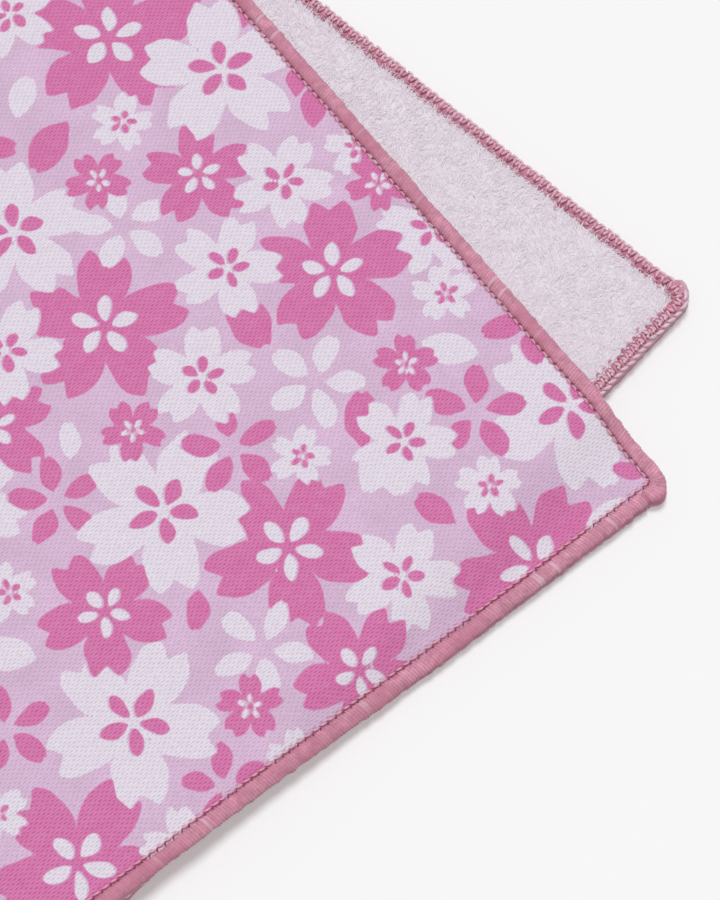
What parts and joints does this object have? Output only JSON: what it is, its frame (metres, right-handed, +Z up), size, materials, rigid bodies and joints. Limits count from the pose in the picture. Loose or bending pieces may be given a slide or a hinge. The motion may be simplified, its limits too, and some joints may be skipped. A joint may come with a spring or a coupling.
{
  "type": "towel handkerchief",
  "caption": "Square cotton towel handkerchief folded once in half, small printed blossoms on the woven face, terry on the other, dusty rose overlocked edge, lying flat",
  "frame": {"origin": "on the surface it lies on, under the middle of its bounding box", "axes": "+X along the fold, from its left end to its right end as seen from the open side; +Y towards the fold, so the open edges face -Y; +Z up"},
  "size_m": [0.2694, 0.1366, 0.0066],
  "materials": {
    "printed_cotton": "matte woven cotton, lilac, printed with pink and white blossoms, with looped pile on its back",
    "edging_thread": "soft satin thread, dusty rose, overlocked"
  },
  "bodies": {
    "root": {"towel_cloth": "printed_cotton", "edging": "edging_thread"}
  },
  "joints": []
}
